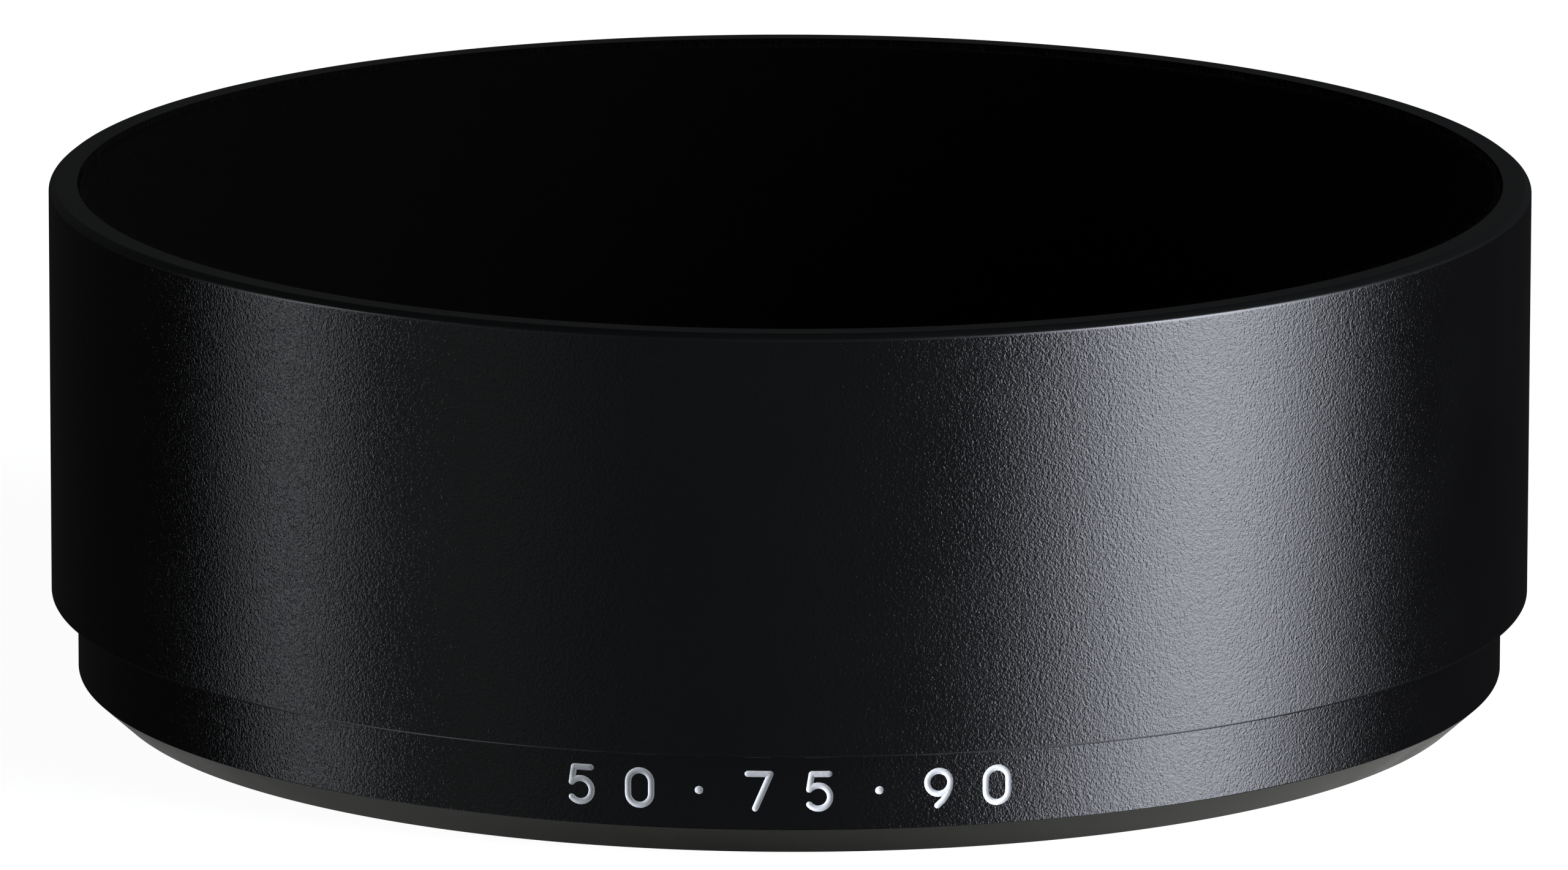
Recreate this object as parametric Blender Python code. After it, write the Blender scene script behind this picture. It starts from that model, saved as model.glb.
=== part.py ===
# Round lens hood with a three-lug bayonet, built from the lens outwards.
# Metres, +Z up. The hood stands on its mount end at z = 0 and its axis is the Z axis.

import math

import bmesh
import bpy
from mathutils import Matrix, Vector

MM = 0.001

# Driving dimensions, across the axis
LENS_RIM_DIAMETER = 57.4 * MM
RIM_CLEARANCE = 0.1 * MM
LUG_HEIGHT = 1.1 * MM
SEAT_WIDTH = 3.1 * MM
COLLAR_WALL = 3.85 * MM
SHOULDER_WIDTH = 1.15 * MM
BARREL_STEP = 1.25 * MM
BARREL_WALL = 1.35 * MM
SPIGOT_LIP = 1.15 * MM
LINING_THICKNESS = 0.4 * MM

# Driving dimensions, along the axis
RING_THICKNESS = 1.4 * MM
TAB_SPACE = 1.75 * MM
FLANGE_THICKNESS = 1.8 * MM
COLLAR_BAND = 3.6 * MM
JOINT_LENGTH = 4.0 * MM
BARREL_LENGTH = 19.7 * MM
LINING_SETBACK = 0.3 * MM

# Edge breaks
RING_CHAMFER = 1.6 * MM
RIM_CHAMFER_WIDTH = 0.32 * MM
RIM_CHAMFER_HEIGHT = 0.26 * MM
EDGE_BREAK = 0.12 * MM

# Bayonet
LUG_COUNT = 3
LUG_ARC = math.radians(46.0)
FIRST_LUG_ANGLE = math.radians(90.0)
RAMP_ARC = math.radians(7.0)
RAMP_DROP = 0.45 * MM
STOP_PIN_DIAMETER = 0.8 * MM
STOP_PIN_BURIED = 1.1 * MM
STOP_PIN_INSET = math.radians(3.0)

# Leaf springs, fixed by a screw at one end and free at the other
SPRING_REACH = 9.0 * MM
SPRING_TAIL = 1.3 * MM
SPRING_TIP = 2.0 * MM
SPRING_FLAT = 1.2 * MM
SPRING_TIP_LIFT = 0.3 * MM
SPRING_WIDTH = 1.8 * MM
SPRING_THICKNESS = 0.25 * MM
SPRING_PROUD = 0.45 * MM
SPRING_ROOT_ANGLE = math.radians(-11.0)

# Screws
THREAD_DIAMETER = 1.2 * MM
RING_SCREW_HEAD = 1.8 * MM
RING_SCREW_HEAD_DEPTH = 0.5 * MM
RING_SCREW_GRIP = 1.3 * MM
RING_SCREW_ANGLE = math.radians(10.0)
SPRING_SCREW_HEAD = 1.7 * MM
SPRING_SCREW_HEAD_HEIGHT = 0.45 * MM
SPRING_SCREW_GRIP = 1.2 * MM
SLOT_WIDTH = 0.3 * MM
SLOT_DEPTH = 0.25 * MM
LOCK_SCREW_DIAMETER = 1.6 * MM
LOCK_SCREW_LENGTH = 1.9 * MM
LOCK_SCREW_POINT = 0.4 * MM
LOCK_COUNT = 3
LOCK_ANGLE = math.radians(30.0)

# Clearances
FIT_GAP = 0.05 * MM
FLEX_GAP = 0.1 * MM
SIDE_GAP = 0.15 * MM
HEAD_RECESS = 0.05 * MM
SPRING_SCREW_RECESS = 0.1 * MM
TAPPED_RUNOUT = 0.25 * MM
CUT_OVERSHOOT = 1.0 * MM
MERGE_DISTANCE = 0.0001 * MM

# Fineness of the round shapes
RING_SEGMENTS = 96
SMALL_SEGMENTS = 16
ARC_STEP = math.radians(3.75)
SPRING_BEND_STEPS = 8
SPRING_TIP_STEPS = 3
SHARP_ANGLE = math.radians(30.0)

# Radii that follow from the driving dimensions
LUG_RADIUS = LENS_RIM_DIAMETER / 2 + RIM_CLEARANCE
SOCKET_RADIUS = LUG_RADIUS + LUG_HEIGHT
OPENING_RADIUS = SOCKET_RADIUS - SEAT_WIDTH
COLLAR_RADIUS = SOCKET_RADIUS + COLLAR_WALL
JOINT_RADIUS = COLLAR_RADIUS - SHOULDER_WIDTH
BARREL_RADIUS = COLLAR_RADIUS + BARREL_STEP
BORE_RADIUS = BARREL_RADIUS - BARREL_WALL
SPRING_RADIUS = SOCKET_RADIUS - SEAT_WIDTH / 2
RING_SCREW_RADIUS = (SOCKET_RADIUS + COLLAR_RADIUS - RING_CHAMFER) / 2
STOP_PIN_RADIUS = (LUG_RADIUS + SOCKET_RADIUS) / 2

# Heights that follow from the driving dimensions
COLLAR_BOTTOM = RING_THICKNESS + FIT_GAP
SEAT_HEIGHT = COLLAR_BOTTOM + TAB_SPACE
FLANGE_TOP = SEAT_HEIGHT + FLANGE_THICKNESS
SHOULDER_HEIGHT = COLLAR_BOTTOM + COLLAR_BAND
BARREL_BOTTOM = SHOULDER_HEIGHT + FIT_GAP
JOINT_TOP = BARREL_BOTTOM + JOINT_LENGTH
RIM_HEIGHT = BARREL_BOTTOM + BARREL_LENGTH
HEAD_OUTER_FACE = SEAT_HEIGHT + SPRING_SCREW_RECESS
HEAD_INNER_FACE = HEAD_OUTER_FACE + SPRING_SCREW_HEAD_HEIGHT
SPRING_HEIGHT = HEAD_INNER_FACE + FLEX_GAP + SPRING_THICKNESS / 2
POCKET_ROOF = SPRING_HEIGHT + SPRING_THICKNESS / 2 + FLEX_GAP

# The funnel inside the collar opens from the flange up to the top of the joint
FUNNEL_TOP_RADIUS = JOINT_RADIUS - SPIGOT_LIP
FUNNEL_SLOPE = (JOINT_TOP - FLANGE_TOP) / (FUNNEL_TOP_RADIUS - OPENING_RADIUS)
FUNNEL_RISE = math.hypot(1.0, FUNNEL_SLOPE)
LOCK_HEIGHT = BARREL_BOTTOM + JOINT_LENGTH / 2
LOCK_TIP_RADIUS = JOINT_RADIUS - FIT_GAP


def clear_scene():
    for item in list(bpy.data.objects):
        bpy.data.objects.remove(item, do_unlink=True)


def finish(name, colour, roughness, metallic):
    material = bpy.data.materials.new(name)
    material.use_nodes = True
    shader = material.node_tree.nodes["Principled BSDF"]
    shader.inputs["Base Color"].default_value = (*colour, 1.0)
    shader.inputs["Roughness"].default_value = roughness
    shader.inputs["Metallic"].default_value = metallic
    return material


def mesh_from(shape, name):
    # A closed, smooth-shaded mesh with outward faces and crisp corners
    bmesh.ops.remove_doubles(shape, verts=shape.verts, dist=MERGE_DISTANCE)
    bmesh.ops.recalc_face_normals(shape, faces=shape.faces)
    mesh = bpy.data.meshes.new(name)
    shape.to_mesh(mesh)
    shape.free()
    mesh.shade_smooth()
    mesh.set_sharp_from_angle(angle=SHARP_ANGLE)
    return mesh


def placed(name, mesh, material, place=Matrix.Identity(4)):
    item = bpy.data.objects.new(name, mesh)
    bpy.context.scene.collection.objects.link(item)
    if material and not mesh.materials:
        mesh.materials.append(material)
    item.matrix_world = place
    return item


def turned(name, profile, segments, ring=True):
    # Spins a profile of (radius, height) points round Z; a ring's profile is a closed loop
    shape = bmesh.new()
    points = [shape.verts.new((radius, 0.0, height)) for radius, height in profile]
    edges = [shape.edges.new(pair) for pair in zip(points, points[1:])]
    if ring:
        edges.append(shape.edges.new((points[-1], points[0])))
    bmesh.ops.spin(
        shape,
        geom=points + edges,
        cent=(0.0, 0.0, 0.0),
        axis=(0.0, 0.0, 1.0),
        angle=math.tau,
        steps=segments,
        use_merge=True,
    )
    return mesh_from(shape, name)


def arc_strip(name, stations, inner, outer, centre=Vector((0.0, 0.0, 0.0))):
    # Lofts a strip that bends round Z; each station is (angle, lower height, upper height)
    shape = bmesh.new()
    loops = []
    for angle, low, high in stations:
        corners = [(inner, low), (outer, low), (outer, high), (inner, high)]
        loops.append(
            [
                shape.verts.new(Vector((r * math.cos(angle), r * math.sin(angle), z)) - centre)
                for r, z in corners
            ]
        )
    for near, far in zip(loops, loops[1:]):
        for i in range(4):
            j = (i + 1) % 4
            shape.faces.new((near[i], near[j], far[j], far[i]))
    shape.faces.new(loops[0])
    shape.faces.new(loops[-1])
    return mesh_from(shape, name)


def even_arc(start, end, low, high):
    count = max(2, math.ceil((end - start) / ARC_STEP))
    return [(start + (end - start) * i / count, low, high) for i in range(count + 1)]


def cutters(name, mesh, places):
    # Hidden copies of one cutting shape, kept together in a collection of their own
    group = bpy.data.collections.new(name)
    bpy.context.scene.collection.children.link(group)
    for i, place in enumerate(places, start=1):
        item = bpy.data.objects.new(f"{name}_{i}", mesh)
        group.objects.link(item)
        item.matrix_world = place
        item.hide_render = True
        item.display_type = "WIRE"
    return group


def cut(item, group):
    boolean = item.modifiers.new(group.name, "BOOLEAN")
    boolean.operation = "DIFFERENCE"
    boolean.solver = "EXACT"
    boolean.operand_type = "COLLECTION"
    boolean.collection = group


def carved(mesh, cutter_mesh):
    # One mesh cut by another, as new mesh data that several objects can share
    item = placed(mesh.name + "_blank", mesh, None)
    tool = placed(mesh.name + "_tool", cutter_mesh, None)
    boolean = item.modifiers.new("Carve", "BOOLEAN")
    boolean.operation = "DIFFERENCE"
    boolean.solver = "EXACT"
    boolean.object = tool
    scene_state = bpy.context.evaluated_depsgraph_get()
    result = bpy.data.meshes.new_from_object(item.evaluated_get(scene_state))
    result.name = mesh.name
    bpy.data.objects.remove(item, do_unlink=True)
    bpy.data.objects.remove(tool, do_unlink=True)
    return result


def turn(angle):
    return Matrix.Rotation(angle, 4, "Z")


def polar(angle, radius, height):
    return turn(angle) @ Matrix.Translation((radius, 0.0, height))


def lug_angles():
    return [FIRST_LUG_ANGLE + math.tau * i / LUG_COUNT for i in range(LUG_COUNT)]


def ring_screw_angles():
    return [lug + side * RING_SCREW_ANGLE for lug in lug_angles() for side in (-1, 1)]


def lock_angles():
    return [LOCK_ANGLE + math.tau * i / LOCK_COUNT for i in range(LOCK_COUNT)]


def slot_box(span, depth, floor):
    # A bar across the head, reaching below its outer face
    shape = bmesh.new()
    bmesh.ops.create_cube(shape, size=1.0)
    height = depth + CUT_OVERSHOOT
    size = Matrix.Diagonal((span, SLOT_WIDTH, height, 1.0))
    bmesh.ops.transform(shape, matrix=size, verts=shape.verts)
    drop = Vector((0.0, 0.0, floor + depth - height / 2))
    bmesh.ops.translate(shape, vec=drop, verts=shape.verts)
    return mesh_from(shape, "slot")


def pin_cutter(name, diameter, low, high):
    radius = diameter / 2
    profile = [(0.0, high), (radius, high), (radius, low), (0.0, low)]
    return turned(name, profile, SMALL_SEGMENTS, ring=False)


def hood_barrel(material):
    profile = [
        (BARREL_RADIUS - RIM_CHAMFER_WIDTH, RIM_HEIGHT),
        (BARREL_RADIUS, RIM_HEIGHT - RIM_CHAMFER_HEIGHT),
        (BARREL_RADIUS, BARREL_BOTTOM + EDGE_BREAK),
        (BARREL_RADIUS - EDGE_BREAK, BARREL_BOTTOM),
        (JOINT_RADIUS + FIT_GAP, BARREL_BOTTOM),
        (JOINT_RADIUS + FIT_GAP, JOINT_TOP),
        (BORE_RADIUS, JOINT_TOP),
        (BORE_RADIUS, RIM_HEIGHT - EDGE_BREAK),
        (BORE_RADIUS + EDGE_BREAK, RIM_HEIGHT),
    ]
    placed("hood_barrel", turned("hood_barrel", profile, RING_SEGMENTS), material)


def barrel_lining(material):
    outer = BORE_RADIUS - FIT_GAP
    inner = outer - LINING_THICKNESS
    top = RIM_HEIGHT - LINING_SETBACK
    bottom = JOINT_TOP + LINING_THICKNESS + 2 * FIT_GAP
    profile = [(outer, top), (outer, bottom), (inner, bottom), (inner, top)]
    placed("barrel_lining", turned("barrel_lining", profile, RING_SEGMENTS), material)


def rear_lining(material):
    # Follows the funnel of the collar, then the flat top of the joint out to the barrel
    under = FIT_GAP * FUNNEL_RISE
    over = (FIT_GAP + LINING_THICKNESS) * FUNNEL_RISE
    flat_under = JOINT_TOP + FIT_GAP
    flat_over = flat_under + LINING_THICKNESS

    def funnel_radius(height, offset):
        return OPENING_RADIUS + (height - offset - FLANGE_TOP) / FUNNEL_SLOPE

    edge = BORE_RADIUS - FIT_GAP
    profile = [
        (edge, flat_over),
        (edge, flat_under),
        (funnel_radius(flat_under, under), flat_under),
        (OPENING_RADIUS, FLANGE_TOP + under),
        (OPENING_RADIUS, FLANGE_TOP + over),
        (funnel_radius(flat_over, over), flat_over),
    ]
    placed("rear_lining", turned("rear_lining", profile, RING_SEGMENTS), material)


def spring_pocket():
    start = -(SPRING_TAIL + SIDE_GAP) / SPRING_RADIUS
    end = (SPRING_REACH + SPRING_TIP + SIDE_GAP) / SPRING_RADIUS
    half = SPRING_WIDTH / 2 + SIDE_GAP
    floor = SEAT_HEIGHT - CUT_OVERSHOOT
    stations = even_arc(start, end, floor, POCKET_ROOF)
    return arc_strip("spring_pocket", stations, SPRING_RADIUS - half, SPRING_RADIUS + half)


def mount_collar(material):
    profile = [
        (JOINT_RADIUS, JOINT_TOP),
        (JOINT_RADIUS, SHOULDER_HEIGHT),
        (COLLAR_RADIUS, SHOULDER_HEIGHT),
        (COLLAR_RADIUS, COLLAR_BOTTOM),
        (SOCKET_RADIUS, COLLAR_BOTTOM),
        (SOCKET_RADIUS, SEAT_HEIGHT),
        (OPENING_RADIUS, SEAT_HEIGHT),
        (OPENING_RADIUS, FLANGE_TOP),
        (FUNNEL_TOP_RADIUS, JOINT_TOP),
    ]
    collar = placed("mount_collar", turned("mount_collar", profile, RING_SEGMENTS), material)
    roots = [lug + SPRING_ROOT_ANGLE for lug in lug_angles()]
    cut(collar, cutters("spring_pockets", spring_pocket(), [turn(root) for root in roots]))

    tapped = THREAD_DIAMETER + 2 * FIT_GAP
    ring_hole_top = COLLAR_BOTTOM + RING_SCREW_GRIP + TAPPED_RUNOUT
    ring_hole = pin_cutter("ring_hole", tapped, -CUT_OVERSHOOT, ring_hole_top)
    ring_places = [polar(angle, RING_SCREW_RADIUS, 0.0) for angle in ring_screw_angles()]
    cut(collar, cutters("ring_holes", ring_hole, ring_places))

    spring_hole_top = POCKET_ROOF + SPRING_SCREW_GRIP + TAPPED_RUNOUT
    spring_hole = pin_cutter("spring_hole", tapped, SEAT_HEIGHT, spring_hole_top)
    spring_places = [polar(root, SPRING_RADIUS, 0.0) for root in roots]
    cut(collar, cutters("spring_holes", spring_hole, spring_places))

    lock_bore = LOCK_SCREW_DIAMETER + 2 * FIT_GAP
    lock_hole = pin_cutter("lock_hole", lock_bore, -SEAT_WIDTH - CUT_OVERSHOOT, CUT_OVERSHOOT)
    cut(collar, cutters("lock_holes", lock_hole, lock_places()))


def lug_notch():
    # The way in for the lens tabs, between two lugs
    half = (math.tau / LUG_COUNT - LUG_ARC) / 2
    stations = even_arc(-half, half, -CUT_OVERSHOOT, RING_THICKNESS + CUT_OVERSHOOT)
    return arc_strip("lug_notch", stations, LUG_RADIUS - CUT_OVERSHOOT, SOCKET_RADIUS)


def lug_ramp():
    # A sloping cut over the leading end of a lug, which leads a lens tab on to it
    top = RING_THICKNESS + CUT_OVERSHOOT
    start = -LUG_ARC / 2
    end = start + RAMP_ARC
    overrun = CUT_OVERSHOOT / LUG_RADIUS
    stations = []
    for angle in (start - overrun, start, end, end + overrun):
        floor = RING_THICKNESS + RAMP_DROP * (angle - end) / RAMP_ARC
        stations.append((angle, floor, top))
    return arc_strip("lug_ramp", stations, LUG_RADIUS - CUT_OVERSHOOT, SOCKET_RADIUS)


def bayonet_ring(material):
    profile = [
        (COLLAR_RADIUS, RING_THICKNESS),
        (COLLAR_RADIUS - RING_CHAMFER, 0.0),
        (LUG_RADIUS, 0.0),
        (LUG_RADIUS, RING_THICKNESS),
    ]
    ring = placed("bayonet_ring", turned("bayonet_ring", profile, RING_SEGMENTS), material)
    between = [angle + math.pi / LUG_COUNT for angle in lug_angles()]
    cut(ring, cutters("lug_notches", lug_notch(), [turn(angle) for angle in between]))
    cut(ring, cutters("lug_ramps", lug_ramp(), [turn(angle) for angle in lug_angles()]))

    head = RING_SCREW_HEAD / 2 + FIT_GAP
    shank = THREAD_DIAMETER / 2 + FIT_GAP
    sink = HEAD_RECESS + RING_SCREW_HEAD_DEPTH
    profile = [
        (0.0, RING_THICKNESS + CUT_OVERSHOOT),
        (shank, RING_THICKNESS + CUT_OVERSHOOT),
        (shank, sink),
        (head, HEAD_RECESS),
        (head, -CUT_OVERSHOOT),
        (0.0, -CUT_OVERSHOOT),
    ]
    countersink = turned("countersink", profile, SMALL_SEGMENTS, ring=False)
    places = [polar(angle, RING_SCREW_RADIUS, 0.0) for angle in ring_screw_angles()]
    cut(ring, cutters("countersinks", countersink, places))

    bore = STOP_PIN_DIAMETER + 2 * FIT_GAP
    pin_floor = RING_THICKNESS - STOP_PIN_BURIED - FIT_GAP
    pin_hole = pin_cutter("pin_hole", bore, pin_floor, RING_THICKNESS + CUT_OVERSHOOT)
    cut(ring, cutters("pin_holes", pin_hole, [stop_pin_place()]))


def stop_pin_place():
    angle = FIRST_LUG_ANGLE + LUG_ARC / 2 - STOP_PIN_INSET
    return polar(angle, STOP_PIN_RADIUS, 0.0)


def stop_pin(material):
    radius = STOP_PIN_DIAMETER / 2
    low = RING_THICKNESS - STOP_PIN_BURIED
    high = SEAT_HEIGHT - FLEX_GAP
    profile = [
        (0.0, high),
        (radius - EDGE_BREAK, high),
        (radius, high - EDGE_BREAK),
        (radius, low),
        (0.0, low),
    ]
    mesh = turned("stop_pin", profile, SMALL_SEGMENTS, ring=False)
    placed("stop_pin", mesh, material, stop_pin_place())


def spring_middle(along):
    # Height of the strip's middle: flat under the screw, down to the contact, up at the tip
    lowest = SEAT_HEIGHT - SPRING_PROUD + SPRING_THICKNESS / 2
    if along <= SPRING_FLAT:
        return SPRING_HEIGHT
    if along <= SPRING_REACH:
        share = (along - SPRING_FLAT) / (SPRING_REACH - SPRING_FLAT)
        ease = math.sin(share * math.pi / 2)
        return SPRING_HEIGHT + (lowest - SPRING_HEIGHT) * ease
    share = (along - SPRING_REACH) / SPRING_TIP
    return lowest + SPRING_TIP_LIFT * share**2


def leaf_springs(material):
    half = SPRING_THICKNESS / 2
    run = (SPRING_REACH - SPRING_FLAT) / SPRING_BEND_STEPS
    tip_run = SPRING_TIP / SPRING_TIP_STEPS
    lengths = [-SPRING_TAIL]
    lengths += [SPRING_FLAT + run * i for i in range(SPRING_BEND_STEPS + 1)]
    lengths += [SPRING_REACH + tip_run * (i + 1) for i in range(SPRING_TIP_STEPS)]
    stations = []
    for along in lengths:
        middle = spring_middle(along)
        stations.append((along / SPRING_RADIUS, middle - half, middle + half))
    hinge = Vector((SPRING_RADIUS, 0.0, SPRING_HEIGHT))
    inner = SPRING_RADIUS - SPRING_WIDTH / 2
    strip = arc_strip("leaf_spring", stations, inner, inner + SPRING_WIDTH, hinge)
    hole = pin_cutter("spring_eye", THREAD_DIAMETER + 2 * SIDE_GAP, -CUT_OVERSHOOT, CUT_OVERSHOOT)
    mesh = carved(strip, hole)
    for i, lug in enumerate(lug_angles(), start=1):
        place = polar(lug + SPRING_ROOT_ANGLE, SPRING_RADIUS, SPRING_HEIGHT)
        placed(f"leaf_spring_{i}", mesh, material, place)


def slotted_screw(name, profile, span):
    blank = turned(name, profile, SMALL_SEGMENTS, ring=False)
    floor = profile[-1][1]
    return carved(blank, slot_box(span, SLOT_DEPTH, floor))


def spring_screws(material):
    head = SPRING_SCREW_HEAD / 2
    shank = THREAD_DIAMETER / 2
    profile = [
        (0.0, POCKET_ROOF + SPRING_SCREW_GRIP),
        (shank, POCKET_ROOF + SPRING_SCREW_GRIP),
        (shank, HEAD_INNER_FACE),
        (head, HEAD_INNER_FACE),
        (head, HEAD_OUTER_FACE + EDGE_BREAK),
        (head - EDGE_BREAK, HEAD_OUTER_FACE),
        (0.0, HEAD_OUTER_FACE),
    ]
    mesh = slotted_screw("spring_screw", profile, 2 * SPRING_SCREW_HEAD)
    for i, lug in enumerate(lug_angles(), start=1):
        place = polar(lug + SPRING_ROOT_ANGLE, SPRING_RADIUS, 0.0)
        placed(f"spring_screw_{i}", mesh, material, place)


def ring_screws(material):
    head = RING_SCREW_HEAD / 2
    shank = THREAD_DIAMETER / 2
    top = COLLAR_BOTTOM + RING_SCREW_GRIP
    profile = [
        (0.0, top),
        (shank, top),
        (shank, HEAD_RECESS + RING_SCREW_HEAD_DEPTH),
        (head, HEAD_RECESS + EDGE_BREAK),
        (head, HEAD_RECESS),
        (0.0, HEAD_RECESS),
    ]
    mesh = slotted_screw("ring_screw", profile, 2 * RING_SCREW_HEAD)
    for i, angle in enumerate(ring_screw_angles(), start=1):
        placed(f"ring_screw_{i}", mesh, material, polar(angle, RING_SCREW_RADIUS, 0.0))


def lock_places():
    # The local Z axis of a lock screw points outwards along the radius
    outwards = Matrix.Rotation(math.pi / 2, 4, "Y")
    return [polar(angle, LOCK_TIP_RADIUS, LOCK_HEIGHT) @ outwards for angle in lock_angles()]


def lock_screws(material):
    radius = LOCK_SCREW_DIAMETER / 2
    profile = [
        (0.0, 0.0),
        (radius - LOCK_SCREW_POINT, 0.0),
        (radius, -LOCK_SCREW_POINT),
        (radius, -LOCK_SCREW_LENGTH),
        (0.0, -LOCK_SCREW_LENGTH),
    ]
    mesh = slotted_screw("lock_screw", profile, 2 * LOCK_SCREW_DIAMETER)
    for i, place in enumerate(lock_places(), start=1):
        placed(f"lock_screw_{i}", mesh, material, place)


def build():
    clear_scene()
    black_paint = finish("black_paint", (0.013, 0.0135, 0.015), 0.42, 0.0)
    black_anodise = finish("black_anodise", (0.022, 0.022, 0.021), 0.3, 0.4)
    black_flock = finish("black_flock", (0.004, 0.0035, 0.004), 0.95, 0.0)
    bronze = finish("spring_bronze", (0.52, 0.36, 0.2), 0.3, 1.0)
    dark_steel = finish("dark_steel", (0.09, 0.09, 0.095), 0.35, 1.0)
    bright_steel = finish("bright_steel", (0.56, 0.57, 0.58), 0.25, 1.0)

    hood_barrel(black_paint)
    barrel_lining(black_flock)
    rear_lining(black_flock)
    mount_collar(black_paint)
    bayonet_ring(black_anodise)
    leaf_springs(bronze)
    spring_screws(dark_steel)
    ring_screws(dark_steel)
    lock_screws(dark_steel)
    stop_pin(bright_steel)


build()
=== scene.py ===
# Looks of the round lens hood: fine edges, grained paint, engraved figures, flock and metal finishes.
# Metres, +Z up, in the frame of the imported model.

import math
import random

import bmesh
import bpy
from mathutils import Matrix, Vector


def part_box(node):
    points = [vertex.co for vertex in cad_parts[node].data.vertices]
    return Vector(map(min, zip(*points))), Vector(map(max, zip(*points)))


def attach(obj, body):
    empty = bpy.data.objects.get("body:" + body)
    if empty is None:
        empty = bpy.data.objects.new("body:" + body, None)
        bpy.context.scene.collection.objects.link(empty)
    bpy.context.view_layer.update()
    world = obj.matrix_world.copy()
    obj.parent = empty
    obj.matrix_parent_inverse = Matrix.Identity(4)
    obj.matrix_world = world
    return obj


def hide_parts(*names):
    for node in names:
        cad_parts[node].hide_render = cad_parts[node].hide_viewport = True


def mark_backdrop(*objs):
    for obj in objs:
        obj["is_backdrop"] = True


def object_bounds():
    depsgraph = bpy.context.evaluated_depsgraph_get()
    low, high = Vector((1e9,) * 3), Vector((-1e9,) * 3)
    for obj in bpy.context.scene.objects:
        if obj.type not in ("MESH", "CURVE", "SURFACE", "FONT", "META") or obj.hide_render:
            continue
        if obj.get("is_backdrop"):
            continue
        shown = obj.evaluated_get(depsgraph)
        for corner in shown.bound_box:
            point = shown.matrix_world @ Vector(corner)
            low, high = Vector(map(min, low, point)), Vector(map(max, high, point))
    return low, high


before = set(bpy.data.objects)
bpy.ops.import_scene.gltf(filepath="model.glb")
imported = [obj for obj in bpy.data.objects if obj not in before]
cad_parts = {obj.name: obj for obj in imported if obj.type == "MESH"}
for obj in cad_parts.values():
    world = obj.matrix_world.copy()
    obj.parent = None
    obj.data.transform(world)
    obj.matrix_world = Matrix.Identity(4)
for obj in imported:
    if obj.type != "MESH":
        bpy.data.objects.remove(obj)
cad_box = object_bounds()

MM = 0.001
RANDOM_SEED = 11

# Sizes read from the frame
barrel_low, barrel_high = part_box("hood_barrel")
collar_low, collar_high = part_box("mount_collar")
ring_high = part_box("bayonet_ring")[1]
sleeve_low, sleeve_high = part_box("barrel_lining")
floor_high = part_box("rear_lining")[1]
pin_low, pin_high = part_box("stop_pin")
ring_screw_low, ring_screw_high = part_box("ring_screw_1")
spring_screw_low, spring_screw_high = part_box("spring_screw_1")
BARREL_RADIUS = barrel_high[0]
BARREL_BOTTOM = barrel_low[2]
RIM_HEIGHT = barrel_high[2]
COLLAR_RADIUS = collar_high[0]
COLLAR_BOTTOM = collar_low[2]
JOINT_TOP = collar_high[2]
RING_THICKNESS = ring_high[2]
SLEEVE_OUTER = sleeve_high[0]
SLEEVE_BOTTOM = sleeve_low[2]
SLEEVE_TOP = sleeve_high[2]
FLOOR_TOP = floor_high[2]

# Sizes that the frame's boxes don't give, as in the part's source
BARREL_WALL = 1.35 * MM
SHOULDER_WIDTH = 1.15 * MM
SPIGOT_LIP = 1.15 * MM
COLLAR_WALL = 3.85 * MM
LUG_HEIGHT = 1.1 * MM
SEAT_WIDTH = 3.1 * MM
TAB_SPACE = 1.75 * MM
FLANGE_THICKNESS = 1.8 * MM
LINING_THICKNESS = 0.4 * MM
FIT_GAP = 0.05 * MM
RING_CHAMFER = 1.6 * MM
RIM_CHAMFER_WIDTH = 0.32 * MM
RIM_CHAMFER_HEIGHT = 0.26 * MM
LUG_COUNT = 3
LUG_ARC = math.radians(46.0)
FIRST_LUG_ANGLE = math.radians(90.0)
RAMP_ARC = math.radians(7.0)
RAMP_DROP = 0.45 * MM
STOP_PIN_DIAMETER = 0.8 * MM
STOP_PIN_INSET = math.radians(3.0)
SPRING_REACH = 9.0 * MM
SPRING_TAIL = 1.3 * MM
SPRING_TIP = 2.0 * MM
SPRING_FLAT = 1.2 * MM
SPRING_TIP_LIFT = 0.3 * MM
SPRING_WIDTH = 1.8 * MM
SPRING_THICKNESS = 0.25 * MM
SPRING_PROUD = 0.45 * MM
SPRING_ROOT_ANGLE = math.radians(-11.0)
SIDE_GAP = 0.15 * MM
FLEX_GAP = 0.1 * MM
THREAD_DIAMETER = 1.2 * MM
RING_SCREW_HEAD = 1.8 * MM
RING_SCREW_HEAD_DEPTH = 0.5 * MM
RING_SCREW_ANGLE = math.radians(10.0)
SPRING_SCREW_HEAD = 1.7 * MM
SPRING_SCREW_HEAD_HEIGHT = 0.45 * MM
SLOT_WIDTH = 0.3 * MM
SLOT_DEPTH = 0.25 * MM
LOCK_SCREW_COUNT = 3

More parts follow.
